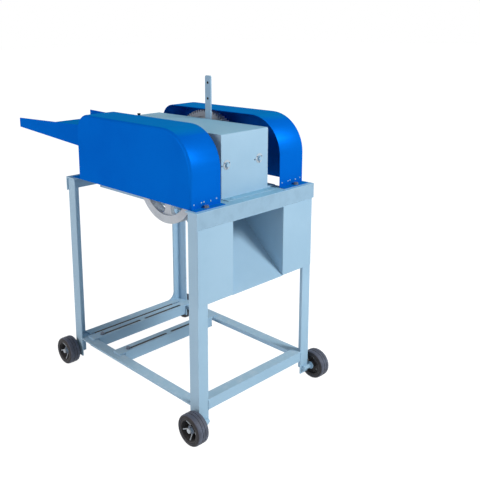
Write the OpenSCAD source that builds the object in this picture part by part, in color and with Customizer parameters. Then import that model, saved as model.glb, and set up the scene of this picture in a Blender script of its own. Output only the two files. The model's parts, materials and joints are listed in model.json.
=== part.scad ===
// Chaff cutter: a fodder cutter with feed rollers and a bladed drum, on a wheeled stand of angle iron.
// Millimetres. X runs across the machine, Y from the discharge side to the feed tray, Z up from the floor.
// Places along Y are counted from the outer face of the front legs. Every node is then shifted by mid_y,
// so that the origin is on the floor below the middle of the machine.

/* [Stand] */
// Width over the outer faces of the legs
stand_w = 530; // [510:5:600]
// Depth over the outer faces of the legs
stand_d = 685; // [675:5:720]
// Height of the table, which is the top face of the top rails
table_h = 720; // [690:5:760]
// Flange width of the leg angle
leg_size = 40; // [36:1:45]
// Thickness of the leg angle
leg_t = 5; // [4:0.5:6]
// Height of the lower ends of the legs
leg_foot = 30; // [20:1:38]
// Flange width of the top rail and bearer angle
rail_size = 50; // [47:1:54]
// Thickness of the top rail and bearer angle
rail_t = 5; // [4:0.5:6]

/* [Shelf] */
// Height of the top face of the front shelf rail
front_shelf_h = 115; // [110:1:135]
// Height of the top face of the side shelf rails
side_shelf_h = 100; // [90:1:105]
// Flange width of the front and back shelf rails
cross_size = 35; // [30:1:38]
// Flange width of the side shelf rails and motor rails
shelf_size = 40; // [36:1:44]
// Thickness of all shelf angles
shelf_t = 5; // [4:0.5:6]
// Distance of the rear motor rail's front edge from the back of the stand
motor_rail_in = 85; // [80:1:100]
// Distance of the two rows of motor slots, across the motor's feet
slot_row_gap = 160; // [150:1:165]
// Distance of a motor slot from the end of its rail
slot_end = 40; // [36:1:60]
// Distance of a motor slot from the middle of its rail
slot_mid = 10; // [8:1:20]
// Width of a motor slot
slot_w = 11; // [10:0.5:13]

/* [Wheels] */
// Radius of a wheel over the tyre
wheel_r = 50; // [45:1:55]
// Width of the tyre
tyre_w = 44; // [36:1:50]
// Radius of the hub's rim, inside the tyre
hub_r = 36; // [32:1:39]
// Gap between the leg's outer face and the tyre
wheel_gap = 9; // [8:0.5:14]
// Radius of the axle bars
axle_r = 7; // [6:0.5:9]
// Depth of the dish in the wheel's outer face
dish = 14; // [11:0.5:16]
// Thin spokes of a wheel
wheel_spokes = 5; // [4:1:7]

/* [Cutter box] */
// Width over the outer faces of the side plates
box_w = 214; // [205:1:222]
// Depth of the box, front sheet to back sheet
box_d = 556; // [545:1:565]
// Height of the box above the table
box_h = 203; // [195:1:215]
// Place of the front sheet
box_front = 59; // [56:1:66]
// Thickness of the side plates
side_t = 6; // [5:0.5:8]
// Thickness of all sheet metal
sheet = 2; // [1.5:0.25:3]
// Width of the side plates' foot flanges
foot_w = 40; // [36:1:44]
// Height of the back lip of the cover
lip_h = 38; // [30:1:44]

/* [Drum and shear bar] */
// Place of the main shaft along Y
shaft_y = 193; // [190:1:200]
// Height of the main shaft above the table
shaft_rise = 52; // [50:1:56]
// Radius of the main shaft
shaft_r = 15; // [13:0.5:16]
// Radius of the circle that the blade edges run on
drum_r = 110; // [104:1:113]
// Blades on the drum
blade_count = 4; // [3:1:4]
// Thickness of a blade
blade_t = 8; // [6:0.5:9]
// Cutting gap between the blades and the shear bar
cut_gap = 1; // [0.5:0.1:2]
// Thickness of the shear bar
shear_t = 10; // [8:0.5:12]
// Distance of each drum disc's inner face from the middle
disc_in = 55; // [45:1:60]
// Thickness of a drum disc
disc_w = 24; // [20:1:26]

/* [Feed rollers and gears] */
// Radius of the feed rollers over the teeth
roller_r = 30; // [27:0.5:31]
// Radius of the roller shafts
roller_shaft_r = 12.5; // [11:0.5:14]
// Height of the lower roller above the main shaft
roller_rise = 4; // [0:1:8]
// Teeth along a feed roller's edge
roller_teeth = 12; // [10:1:16]
// Module of the drive gears
drive_m = 4; // [3.9:0.05:4.05]
// Teeth of the pinion on the main shaft
pinion_teeth = 30; // [28:1:31]
// Teeth of the feed gear
feed_teeth = 82; // [80:1:83]
// Module of the two roller gears
roller_m = 3; // [2.9:0.05:3.1]
// Teeth of each roller gear
roller_gear_teeth = 22; // [22:1:23]
// Play taken off each tooth flank
flank_play = 0.12; // [0.08:0.01:0.2]
// Distance of the feed gear from the side plate
feed_gear_off = 58; // [56:1:64]
// Width of the feed gear and the pinion
feed_gear_w = 24; // [20:1:28]
// Distance of the roller gears from the side plate
roller_gear_off = 16; // [14:1:20]
// Width of the roller gears
roller_gear_w = 20; // [16:1:22]

/* [Flywheel] */
// Radius of the flywheel pulley
flywheel_r = 131; // [120:1:135]
// Radial height of its rim
rim_h = 26; // [22:1:30]
// Width of its rim
rim_w = 35; // [33:1:40]
// Spokes of the flywheel
flywheel_spokes = 4; // [3:1:6]
// Distance of the flywheel from the left side plate
flywheel_off = 79; // [74:1:85]

/* [Guards] */
// Gap between a side plate and a guard's inner edge
guard_gap = 29.5; // [26:0.5:34]
// Width of a guard
guard_w = 122; // [116:1:124]
// Place of a guard's front edge
guard_front = 32; // [29:1:36]
// Depth of a guard
guard_d = 593; // [588:1:598]
// Height of a guard above the table
guard_h = 233; // [228:1:260]
// Radius of the front bend of a guard
guard_front_r = 130; // [110:1:140]
// Radius of the back bend of a guard
guard_back_r = 60; // [40:1:70]
// Radius of the bend along a guard's outer edge
guard_edge_r = 10; // [6:1:14]

/* [Feed tray] */
// Place of the tray's outer end
tray_end = 1185; // [1100:5:1300]
// Outside width of the tray at its outer end
tray_w = 355; // [330:1:420]
// Height of the tray's floor above the table at the box
tray_in_rise = 59; // [54:1:64]
// Height of the tray's floor above the table at its outer end
tray_out_rise = 122; // [80:1:126]
// Height of the tray's wall tops above the table at the box
wall_in_rise = 163; // [150:1:164]
// Height of the tray's wall tops above the table at its outer end
wall_out_rise = 158; // [150:1:170]

/* [Discharge] */
// Slope of the chute's slide
slide_a = 43.3; // [40:0.1:44]
// Gap between the drum and the slide
slide_gap = 6.5; // [4:0.5:10]
// Width of the chute, between its walls
chute_w = 235; // [228:1:240]

/* [Shift lever] */
// Width of the lever bar
lever_w = 28; // [24:1:32]
// Thickness of the lever bar
lever_t = 6; // [5:0.5:8]
// Place of the lever's pivot along Y
lever_y = 349; // [345:1:352]
// Height of the lever's pivot above the table
lever_rise = 85; // [75:1:95]
// Length of the lever above its pivot
lever_len = 270; // [220:1:320]
// Radius of the lever's pivot pin
lever_pin_r = 8; // [6:0.5:9]

/* [Clearances] */
// Radial gap of pieces fixed on a shaft
fit_gap = 0.02; // [0.01:0.01:0.04]
// Radial gap of running fits
run_gap = 0.06; // [0.02:0.01:0.09]
// Side gap between a turning piece and its seat
side_gap = 0.4; // [0.3:0.05:0.8]
// Radial gap of a bolt in its hole
bolt_gap = 0.5; // [0.3:0.1:1]

/* [Hidden] */
$fn = 64;
big = 2000;

half_w = stand_w / 2;
rail_drop = table_h - rail_size;
leg_top = table_h - rail_t;
wheel_y = axle_r;
mid_y = (tray_end - wheel_y - wheel_r) / 2;

// Cutter box
box_half = box_w / 2;
plate_in = box_half - side_t;
box_back = box_front + box_d;
box_top = table_h + box_h;
plate_front = box_front + sheet;
plate_back = box_back - sheet;
plate_top = box_top - sheet;
foot_t = side_t;
bearer_in = box_half + 1.5;
bearer_out = bearer_in + rail_size;

// Shafts and gears
shaft_z = table_h + shaft_rise;
gear_distance = drive_m * (pinion_teeth + feed_teeth) / 2;
feed_y = shaft_y + sqrt(pow(gear_distance, 2) - pow(roller_rise, 2));
feed_z = shaft_z + roller_rise;
mesh_a = atan2(roller_rise, feed_y - shaft_y);
upper_z = feed_z + roller_m * roller_gear_teeth;
roller_len = 2 * (plate_in - 3);
feed_gear_x = box_half + feed_gear_off;
feed_gear_end = feed_gear_x + feed_gear_w;
roller_gear_x = box_half + roller_gear_off;
roller_gear_end = roller_gear_x + roller_gear_w;
flywheel_x = box_half + flywheel_off;
shaft_left = flywheel_x + rim_w + 14;
shaft_right = feed_gear_end + 9;

// Bearings and bushes
bearing_flange_r = 44;
bearing_flange_t = 12;
bearing_boss_r = 26;
bearing_w = 27;
bearing_bolt_at = 36;
bush_flange_r = 30;
bush_flange_t = 6;
bush_r = roller_shaft_r + 4.5;

// Bolts: radius of the shank, height of the head, radius over its corners
m8 = [4, 5.5, 7.5];
m8_slim = [4, 5.5, 6.5];
m10 = [5, 7, 9.8];
washer_t = 2;
bolt_tip = 2;
rivet_h = 1.8;

// Drum
disc_r = 74;
lug_in = 40;
lug_cut = 16;
blade_ground = 7;
blade_root = 58;
blade_len = 2 * (plate_in - 4);
blade_bolt_at = 84;
lug_t = 18;
lug_r = 96;
blade_a = 20;

// Shear bar
shear_z = feed_z + roller_r;
shear_edge = shaft_y + sqrt(pow(drum_r + cut_gap, 2) - pow(shear_z - shaft_z, 2));
shear_back = feed_y - roller_r - 16;
seat_t = 8;
seat_h = 56;
seat_front = shear_edge + 14;
shear_bolt_y = (seat_front + shear_back) / 2;
shear_bolt_x = [-70, 0, 70];

// Throat and tray
throat_t = 3;
throat_in = feed_y + roller_r + 5;
throat_z = shear_z - 4;
tray_in_z = table_h + tray_in_rise;
tray_out_z = table_h + tray_out_rise;
tray_half_in = box_half + sheet;
tray_half_out = tray_w / 2;
tab_len = 45;
tray_bolt_in = 22;
tray_bolt_rise = 82;
tray_bolts_at = [for (z = [tray_bolt_in, tray_bolt_rise]) [box_back - tray_bolt_in, tray_in_z + z]];

// Chute
slide_off = drum_r + slide_gap;
function slide_z(y) = shaft_z + (y - shaft_y) * tan(slide_a) - slide_off / cos(slide_a);
chute_half = chute_w / 2;
chute_top = table_h - rail_t;
chute_top_y = shaft_y + (chute_top - shaft_z + slide_off / cos(slide_a)) / tan(slide_a);
panel_low = slide_z(0);
panel_strip = 4;

// Guards
guard_in = box_half + guard_gap;
guard_out = guard_in + guard_w;
guard_back = guard_front + guard_d;
guard_top = table_h + guard_h;
guard_foot_d = 21;
guard_bolt_off = 11;
guard_back_foot = stand_d - guard_back - 18;
guard_bolt_x = guard_in + 70;
guard_front_bolt_y = guard_front - guard_bolt_off;
guard_back_bolt_y = stand_d - 33;

// Shelf
motor_rail_top = side_shelf_h + shelf_t;
slot_inset = 14;
motor_rear_y = stand_d - motor_rail_in;
motor_rail_y = motor_rear_y - slot_row_gap;
motor_rail_lap = 15;
motor_rail_half = half_w - shelf_size + motor_rail_lap;
motor_web_half = half_w - shelf_size - 2 * shelf_t;
motor_root = 1.5;
slot_len = motor_rail_half - slot_end - slot_mid;
slot_pitch = slot_len + 2 * slot_mid;
motor_bolt_play = 2;
motor_bolt_x = slot_w / 2 + motor_bolt_play - slot_pitch / 2 - slot_len / 2;

// Lever
lever_z = table_h + lever_rise;
lever_x = box_half + 8;
lever_hole_r = 4.5;
lever_holes = [lever_len - 25, lever_len - 81];
lever_tail = 26;

// Wheels
wheel_in = half_w + wheel_gap;
wheel_out = wheel_in + tyre_w;
boss_out = wheel_out - dish;
washer_out = boss_out + side_gap + washer_t;
axle_end = wheel_out - 2;
axle_lap = 32;
axle_in = half_w - axle_lap;
collar_r = 13;
collar_t = 3;
collar_out = wheel_in - side_gap;
pin_r = 2;
pin_x = washer_out + side_gap + pin_r;

// Paint and metal
grey_paint = [0.66, 0.77, 0.86];
blue_paint = [0.02, 0.33, 0.78];
cast_grey = [0.62, 0.62, 0.64];
dark_steel = [0.25, 0.25, 0.27];
bright_steel = [0.72, 0.73, 0.75];
bronze = [0.66, 0.47, 0.25];
black_rubber = [0.06, 0.06, 0.07];

// Shared shapes

module from_front() { translate([0, -mid_y, 0]) children(); }

// A flat outline in Y and Z, carried along X from x0 to x1
module along_x(x0, x1) { translate([x0, 0, 0]) rotate([90, 0, 90]) linear_extrude(x1 - x0) children(); }

// A round bar along X
module bar_x(x0, x1, r, y, z) { along_x(x0, x1) translate([y, z]) circle(r); }

// Section of a rolled angle, with its heel at the origin: a fillet in the root and round toes
module angle_section(size, t, root) {
    toe = t / 2;
    difference() {
        union() {
            square([size, t]);
            square([t, size]);
            square(t + root);
        }
        translate([t + root, t + root]) circle(root);
        for (p = [[size - toe, t - toe], [t - toe, size - toe]]) translate(p) difference() {
            square(t);
            circle(toe);
        }
    }
}

// The same section along X, with its heel on top and its flanges going down and along Y
module angle_along_x(x0, x1, y, z, size, t, root) {
    along_x(x0, x1) translate([y, z]) mirror([0, 1]) angle_section(size, t, root);
}

// The same section along Y, with its flanges going down and towards low X
module angle_along_y(y0, y1, x, z, size, t) {
    translate([x, y1, z]) rotate([90, 0, 0]) linear_extrude(y1 - y0) rotate(180) angle_section(size, t, t);
}

module block(low, high) { translate(low) cube(high - low); }

module both_sides() {
    children();
    mirror([1, 0, 0]) children();
}

// The same for a flat outline and its second axis
module both_ways() {
    children();
    mirror([0, 1]) children();
}

module mirrored(on) { mirror([on ? 1 : 0, 0, 0]) children(); }

// A hexagon standing on the plane z = 0, with its upper corners turned off
module hex_head(size) {
    flat_r = 0.88 * size[2];
    intersection() {
        cylinder(r = size[2], h = size[1], $fn = 6);
        cylinder(r1 = flat_r + size[1] / tan(30), r2 = flat_r, h = size[1]);
    }
}

// A nut below the plane z = 0, with the tip of its bolt
module nut_under(size) {
    mirror([0, 0, 1]) {
        hex_head(size);
        cylinder(r = size[0], h = size[1] + bolt_tip);
    }
}

// A hexagon bolt standing on the plane z = 0, with its shank going down
module bolt(size, grip) {
    translate([0, 0, washer_t]) hex_head(size);
    cylinder(r = size[2] + 1, h = washer_t);
    translate([0, 0, -grip]) {
        cylinder(r = size[0], h = grip + washer_t);
        nut_under(size);
    }
}

// The hole that such a bolt goes through
module bolt_hole(size, depth) { translate([0, 0, -depth]) cylinder(r = size[0] + bolt_gap, h = 2 * depth); }

// A rivet with a low round head on the plane z = 0 and a turned-over end below the grip
module rivet(size, grip) {
    low = -grip - rivet_h;
    rotate_extrude() polygon([[0, low], [size[0], low], [size[2], low + rivet_h / 2], [size[2], -grip],
        [size[0], -grip], [size[0], 0], [size[2], 0], [size[2], rivet_h / 2], [size[0], rivet_h],
        [0, rivet_h]]);
}

// A thing that stands on the plane z = 0, turned to stand on a wall that faces along X
module on_wall(x, y, z) { translate([x, y, z]) rotate([0, 90, 0]) children(); }

function arc(centre, r, from, to, steps = 10) =
    [for (i = [0:steps]) let(a = from + (to - from) * i / steps) centre + r * [cos(a), sin(a)]];

// Involute gear outline: a tooth points along the angle first
pressure_a = 20;
flank_steps = 4;
function involute_at(base, r) = let(t = acos(base / r)) tan(t) * 180 / PI - t;
function flank_angle(m, z, r) = let(pitch = m * z / 2, base = pitch * cos(pressure_a))
    90 / z - flank_play / pitch * 180 / PI + involute_at(base, pitch) - involute_at(base, max(r, base));
function gear_tooth(m, z) = let(root = m * (z / 2 - 1.25), tip = m * (z / 2 + 1),
        low = max(root, m * z / 2 * cos(pressure_a)),
        radii = [for (i = [0:flank_steps]) low + (tip - low) * i / flank_steps])
    concat([[root, -flank_angle(m, z, low)]], [for (r = radii) [r, -flank_angle(m, z, r)]],
        [for (i = [flank_steps:-1:0]) [radii[i], flank_angle(m, z, radii[i])]],
        [[root, flank_angle(m, z, low)]]);

module gear_outline(m, z, first) {
    polygon([for (k = [0:z - 1], p = gear_tooth(m, z))
        let(a = first + p[1] + k * 360 / z) p[0] * [cos(a), sin(a)]]);
}

// Stand

module leg(right, back) {
    color(grey_paint) from_front() mirrored(right)
        translate([-half_w, back ? stand_d : 0, 0]) mirror([0, back ? 1 : 0, 0]) difference() {
            translate([0, 0, leg_foot]) linear_extrude(leg_top - leg_foot)
                angle_section(leg_size, leg_t, leg_t);
            along_x(-1, leg_size + 1)
                polygon([[-1, leg_top + 1], [-1, leg_top - rail_t - 1], [rail_t + 1, leg_top + 1]]);
        }
}
module leg_front_left() { leg(false, false); }
module leg_front_right() { leg(true, false); }
module leg_back_left() { leg(false, true); }
module leg_back_right() { leg(true, true); }

// A top rail laps over the legs' faces and rests on their ends, which are cut back for its root
module top_rail(back) {
    bolt_y = back ? stand_d - guard_back_bolt_y : guard_front_bolt_y;
    color(grey_paint) from_front() translate([0, back ? stand_d : 0, 0]) mirror([0, back ? 1 : 0, 0])
        difference() {
            angle_along_x(-half_w - rail_t, half_w + rail_t, -rail_t, table_h, rail_size, rail_t, rail_t);
            both_sides() translate([guard_bolt_x, bolt_y, table_h]) bolt_hole(m8, rail_size);
            if (!back) {
                both_sides() translate([cover_foot_bolt_x, cover_foot_bolt_y, table_h])
                    bolt_hole(m8, rail_size);
            }
        }
}
module top_rail_front() { top_rail(false); }
module top_rail_back() { top_rail(true); }

// Lengthwise bearers carry the cutter box
box_bolt_in = 40;
box_bolt_back = 60;
box_bolt_out = 25;
box_bolt_y = [box_front + box_bolt_in, lever_y - box_bolt_in, box_back - box_bolt_back];
box_bolt_x = box_half + box_bolt_out;
module bearer(right) {
    low_y = rail_size - rail_t;
    color(grey_paint) from_front() mirrored(!right) difference() {
        angle_along_y(low_y, stand_d - low_y, bearer_out, table_h, rail_size, rail_t);
        for (y = box_bolt_y) translate([box_bolt_x, y, table_h]) bolt_hole(m8, rail_size);
    }
}
module bearer_left() { bearer(false); }
module bearer_right() { bearer(true); }

// Shelf

module cross_rail(top, back) {
    end = half_w - leg_size;
    color(grey_paint) from_front() translate([0, back ? stand_d : 0, 0]) mirror([0, back ? 1 : 0, 0])
        angle_along_x(-end, end, 0, top, cross_size, shelf_t, shelf_t);
}
module shelf_rail_front() { cross_rail(front_shelf_h, false); }
module shelf_rail_back() { cross_rail(motor_rail_top, true); }

// A side shelf rail lies between the legs, and its flange reaches into their corners
module side_rail(outer_x, web_x) {
    side = sign(outer_x);
    near = outer_x - side * leg_t;
    cut = near - side * leg_t;
    far = outer_x - side * leg_size;
    color(grey_paint) from_front() {
        angle_along_y(leg_size, stand_d - leg_size, web_x + shelf_t, side_shelf_h, shelf_size, shelf_t);
        translate([0, 0, side_shelf_h - shelf_t]) linear_extrude(shelf_t)
            polygon([[near, 2 * leg_t], [cut, leg_t], [far, leg_t],
                [far, stand_d - leg_t], [cut, stand_d - leg_t], [near, stand_d - 2 * leg_t]]);
    }
}
module shelf_rail_left() { side_rail(-half_w, -half_w + shelf_size - shelf_t); }
module shelf_rail_right() { side_rail(half_w, half_w - shelf_t); }

module motor_slot() {
    run = slot_len - slot_w;
    for (end = [-run / 2, run / 2])
        translate([end, 0, 0]) cylinder(r = slot_w / 2, h = 4 * shelf_t, center = true);
    cube([run, slot_w, 4 * shelf_t], center = true);
}

// Front half of a motor rail's channel
module motor_web(y) {
    angle_along_x(-motor_web_half, motor_web_half, y, motor_rail_top, shelf_size, shelf_t, motor_root);
}

module motor_rail(y) {
    color(grey_paint) from_front() difference() {
        union() {
            block([-motor_rail_half, y, side_shelf_h], [motor_rail_half, y + shelf_size, motor_rail_top]);
            motor_web(y);
            translate([0, 2 * y + shelf_size, 0]) mirror([0, 1, 0]) motor_web(y);
        }
        for (side = [-1, 1])
            translate([side * slot_pitch / 2, y + slot_inset, motor_rail_top]) motor_slot();
    }
}
module motor_rail_front() { motor_rail(motor_rail_y); }
module motor_rail_rear() { motor_rail(motor_rear_y); }

module motor_rail_bolts() {
    color(bright_steel) from_front() for (y = [motor_rail_y, motor_rear_y])
        translate([motor_bolt_x, y + slot_inset, motor_rail_top]) bolt(m8, shelf_t);
}

// Discharge

module front_panel() {
    color(grey_paint) from_front() difference() {
        block([-half_w, -sheet, panel_low], [half_w, 0, rail_drop]);
        block([-chute_half, -2 * sheet, panel_low - 1], [chute_half, sheet, rail_drop - panel_strip]);
    }
}

module discharge_chute() {
    under = sheet / cos(slide_a);
    color(grey_paint) from_front() {
        along_x(-chute_half - sheet, chute_half + sheet)
            polygon([[0, panel_low], [chute_top_y, chute_top],
                [chute_top_y + under / tan(slide_a), chute_top], [0, panel_low - under]]);
        both_sides() along_x(chute_half, chute_half + sheet)
            polygon([[0, panel_low], [0, chute_top - rail_t], [rail_t, chute_top], [chute_top_y, chute_top]]);
    }
}

// Cutter box

// Places of a bearing's bolts on a wall at x
module each_bearing_bolt(x) {
    for (a = [45:90:315])
        on_wall(x, shaft_y + bearing_bolt_at * cos(a), shaft_z + bearing_bolt_at * sin(a)) children();
}

// Holes in both side plates, cut from the outer face
module plate_holes() {
    bar_x(0, big, shaft_r + 4, shaft_y, shaft_z);
    for (z = [feed_z, upper_z]) bar_x(0, big, bush_r + fit_gap, feed_y, z);
    each_bearing_bolt(box_half) bolt_hole(m8, 2 * side_t);
    for (p = tray_bolts_at) on_wall(box_half, p[0], p[1]) bolt_hole(m8, 2 * side_t);
    for (y = box_bolt_y) translate([box_bolt_x, y, table_h]) bolt_hole(m8, 2 * side_t);
}

module box_side(right) {
    corner = cover_bend - sheet;
    color(grey_paint) from_front() mirrored(!right) difference() {
        union() {
            along_x(plate_in, box_half) polygon([[plate_front, table_h], [plate_front, plate_top - corner],
                [plate_front + corner, plate_top], [plate_back - corner, plate_top],
                [plate_back, plate_top - corner], [plate_back, table_h]]);
            block([plate_in, plate_front, table_h], [box_half + foot_w, plate_back, table_h + foot_t]);
        }
        plate_holes();
    }
}
module box_side_left() { box_side(false); }
module box_side_right() { box_side(true); }

// The cover is one sheet bent over the side plates: foot, front, top and back lip
cover_bend = 6;
cover_foot = 31;
cover_foot_bolt_in = 30;
cover_foot_bolt_off = 20;
cover_foot_bolt_x = box_half - cover_foot_bolt_in;
cover_foot_bolt_y = box_front - cover_foot_bolt_off;
cover_bolt_x = [-83, 65];
cover_bolt_rise = 107;
cover_bolt_z = table_h + cover_bolt_rise;
knob_in = 16;
knob_r = 6.5;
knob_neck = 4.5;
knob_h = 8;
knob_y = box_back - knob_in;
module box_cover() {
    inner_bend = cover_bend - sheet;
    color(grey_paint) from_front() difference() {
        union() {
            along_x(-box_half, box_half) polygon(concat(
                [[box_front, table_h]],
                arc([box_front + cover_bend, box_top - cover_bend], cover_bend, 180, 90, 6),
                arc([box_back - cover_bend, box_top - cover_bend], cover_bend, 90, 0, 6),
                [[box_back, box_top - lip_h], [plate_back, box_top - lip_h]],
                arc([plate_back - inner_bend, plate_top - inner_bend], inner_bend, 0, 90, 6),
                arc([plate_front + inner_bend, plate_top - inner_bend], inner_bend, 90, 180, 6),
                [[plate_front, table_h]]));
            block([-box_half, box_front - cover_foot, table_h], [box_half, plate_front, table_h + sheet]);
        }
        both_sides() translate([cover_foot_bolt_x, cover_foot_bolt_y, table_h]) bolt_hole(m8, 4 * sheet);
        for (x = cover_bolt_x)
            translate([x, box_front, cover_bolt_z]) rotate([90, 0, 0]) bolt_hole(m8, 4 * sheet);
        translate([0, knob_y, box_top]) bolt_hole(m8, 4 * sheet);
    }
}

module cover_bolts() {
    color(grey_paint) from_front() {
        for (x = cover_bolt_x) translate([x, box_front, cover_bolt_z]) rotate([90, 0, 0]) bolt(m8, sheet);
        both_sides() translate([cover_foot_bolt_x, cover_foot_bolt_y, table_h + sheet])
            rivet(m8, sheet + rail_t);
    }
}

module cover_knob() {
    color(black_rubber) from_front() translate([0, knob_y, box_top]) {
        rotate_extrude() polygon([[0, 0], [knob_neck, 0], [knob_neck, 0.3 * knob_h], [knob_r, 0.5 * knob_h],
            [knob_r, 0.8 * knob_h], [0.8 * knob_r, knob_h], [0, knob_h]]);
        translate([0, 0, -sheet]) {
            cylinder(r = m8[0], h = sheet + 1);
            nut_under(m8);
        }
    }
}

module box_bolts() {
    color(bright_steel) from_front() both_sides() for (y = box_bolt_y)
        translate([box_bolt_x, y, table_h + foot_t]) bolt(m8, foot_t + rail_t);
}

// Throat and shear bar

module throat_floor() {
    color(grey_paint) from_front() along_x(-plate_in, plate_in)
        polygon([[plate_back, tray_in_z], [throat_in, throat_z], [throat_in, throat_z - throat_t],
            [plate_back, tray_in_z - throat_t]]);
}

module shear_seat() {
    top = shear_z - shear_t;
    color(dark_steel) from_front() difference() {
        union() {
            block([-plate_in, seat_front, top - seat_t], [plate_in, shear_back, top]);
            block([-plate_in, shear_back - seat_t, top - seat_h], [plate_in, shear_back, top]);
        }
        for (x = shear_bolt_x) translate([x, shear_bolt_y, top]) bolt_hole(m10, 2 * seat_t);
    }
}

// The fixed blade: its front edge is ground to the drum's circle
shear_relief = 3;
shear_head_h = 6;
shear_head_r = 8;
module shear_bar() {
    color(bright_steel) from_front() difference() {
        along_x(-plate_in, plate_in) polygon([[shear_edge, shear_z],
            [shear_edge + shear_relief, shear_z - shear_t], [shear_back, shear_z - shear_t],
            [shear_back, shear_z]]);
        for (x = shear_bolt_x) translate([x, shear_bolt_y, shear_z]) {
            bolt_hole(m10, 2 * shear_t);
            translate([0, 0, -shear_head_h]) cylinder(r = shear_head_r + bolt_gap, h = 2 * shear_head_h);
        }
    }
}

module shear_bolts() {
    grip = shear_t - shear_head_h + seat_t;
    color(dark_steel) from_front() for (x = shear_bolt_x)
        translate([x, shear_bolt_y, shear_z - shear_head_h]) {
            cylinder(r = shear_head_r, h = shear_head_h);
            translate([0, 0, -grip]) {
                cylinder(r = m10[0], h = grip);
                nut_under(m10);
            }
        }
}

// Feed tray: a flared trough, open at both ends, with two tabs bolted to the side plates

function tray_plan(inset) = [[-tray_half_in + inset, box_back], [tray_half_in - inset, box_back],
    [tray_half_out - inset, tray_end], [-tray_half_out + inset, tray_end]];
function tray_side(floor_up, top_up) = [[box_back, tray_in_z + floor_up], [tray_end, tray_out_z + floor_up],
    [tray_end, table_h + wall_out_rise + top_up], [box_back, table_h + wall_in_rise + top_up]];

module tray_space(inset, floor_up, top_up, past) {
    intersection() {
        translate([0, 0, table_h]) linear_extrude(box_h * 2) polygon([
            for (p = tray_plan(inset)) [p[0], p[1] + (p[1] > box_back ? past : -past)]]);
        along_x(-tray_w, tray_w) polygon([
            for (p = tray_side(floor_up, top_up)) [p[0] + (p[0] > box_back ? past : -past), p[1]]]);
    }
}

module feed_tray() {
    color(blue_paint) from_front() difference() {
        union() {
            difference() {
                tray_space(0, -sheet, 0, 0);
                tray_space(sheet, 0, box_h / 2, 1);
            }
            both_sides() block([box_half, box_back - tab_len, tray_in_z - sheet],
                [tray_half_in, box_back + 1, table_h + wall_in_rise]);
        }
        both_sides() for (p = tray_bolts_at) on_wall(box_half, p[0], p[1]) bolt_hole(m8, 4 * side_t);
    }
}

module tray_bolts() {
    color(bright_steel) from_front() both_sides() for (p = tray_bolts_at)
        on_wall(tray_half_in, p[0], p[1]) bolt(m8, sheet + side_t);
}

// Guards

// Bent edge of a guard's sheet: x is the depth below the outline, y the place along X
module guard_rim() {
    bend_x = guard_out - guard_edge_r;
    translate([0, guard_in]) square([sheet, bend_x - guard_in]);
    translate([guard_edge_r, bend_x]) intersection() {
        difference() {
            circle(guard_edge_r);
            circle(guard_edge_r - sheet);
        }
        translate([-guard_edge_r, 0]) square(guard_edge_r);
    }
}

// The same section laid across the machine, with its depth along the second axis
module guard_rim_across() { mirror([1, 0]) rotate(90) guard_rim(); }

// A bend of a guard about an axis along X
module guard_bend(y, z, r, first) {
    translate([0, y, z]) rotate([90, 0, 90]) rotate([0, 0, first]) rotate_extrude(angle = 90, $fn = 96)
        translate([r, 0]) mirror([1, 0]) guard_rim();
}

// The flat outer face of a guard, inside its bent edge
module guard_face() {
    e = guard_edge_r;
    front_y = guard_front + guard_front_r;
    back_y = guard_back - guard_back_r;
    translate([guard_front + e, table_h]) square([guard_front_r - e, guard_h - guard_front_r]);
    translate([front_y, table_h]) square([back_y - front_y, guard_h - e]);
    translate([back_y, table_h]) square([guard_back_r - e, guard_h - guard_back_r]);
    intersection() {
        translate([front_y, guard_top - guard_front_r]) circle(guard_front_r - e, $fn = 96);
        translate([guard_front, guard_top - guard_front_r]) square(guard_front_r);
    }
    intersection() {
        translate([back_y, guard_top - guard_back_r]) circle(guard_back_r - e, $fn = 96);
        translate([back_y, guard_top - guard_back_r]) square(guard_back_r);
    }
}

module guard_shell() {
    front_y = guard_front + guard_front_r;
    back_y = guard_back - guard_back_r;
    translate([0, guard_front, table_h]) linear_extrude(guard_h - guard_front_r) guard_rim_across();
    translate([0, guard_back, table_h]) mirror([0, 1, 0]) linear_extrude(guard_h - guard_back_r)
        guard_rim_across();
    translate([0, back_y, guard_top]) rotate([90, 0, 0]) linear_extrude(back_y - front_y)
        mirror([0, 1]) guard_rim_across();
    guard_bend(front_y, guard_top - guard_front_r, guard_front_r, 90);
    guard_bend(back_y, guard_top - guard_back_r, guard_back_r, 0);
    along_x(guard_out - sheet, guard_out) guard_face();
}

module guard_foot(y0, y1) { block([guard_in, y0, table_h], [guard_out, y1, table_h + sheet]); }

module guard(right) {
    color(blue_paint) from_front() mirrored(!right) difference() {
        union() {
            guard_shell();
            guard_foot(guard_front - guard_foot_d, guard_front + sheet);
            guard_foot(guard_back - sheet, guard_back + guard_back_foot);
        }
        for (y = [guard_front_bolt_y, guard_back_bolt_y])
            translate([guard_bolt_x, y, table_h]) bolt_hole(m8, 4 * sheet);
    }
}
module guard_left() { guard(false); }
module guard_right() { guard(true); }

module guard_bolts() {
    color(bright_steel) from_front() both_sides() for (y = [guard_front_bolt_y, guard_back_bolt_y])
        translate([guard_bolt_x, y, table_h + sheet]) bolt(m8, sheet + rail_t);
}

// Bearings

module main_bearing(right) {
    color(cast_grey) from_front() mirrored(!right) difference() {
        translate([box_half, shaft_y, shaft_z]) rotate([0, 90, 0]) rotate_extrude() polygon([
            [shaft_r + run_gap, 0], [bearing_flange_r, 0], [bearing_flange_r, bearing_flange_t - 2],
            [bearing_flange_r - 2, bearing_flange_t], [bearing_boss_r + 2, bearing_flange_t],
            [bearing_boss_r, bearing_flange_t + 3], [bearing_boss_r - 2, bearing_w],
            [shaft_r + run_gap, bearing_w]]);
        each_bearing_bolt(box_half) bolt_hole(m8, 2 * bearing_flange_t);
    }
}
module main_bearing_left() { main_bearing(false); }
module main_bearing_right() { main_bearing(true); }

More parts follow.
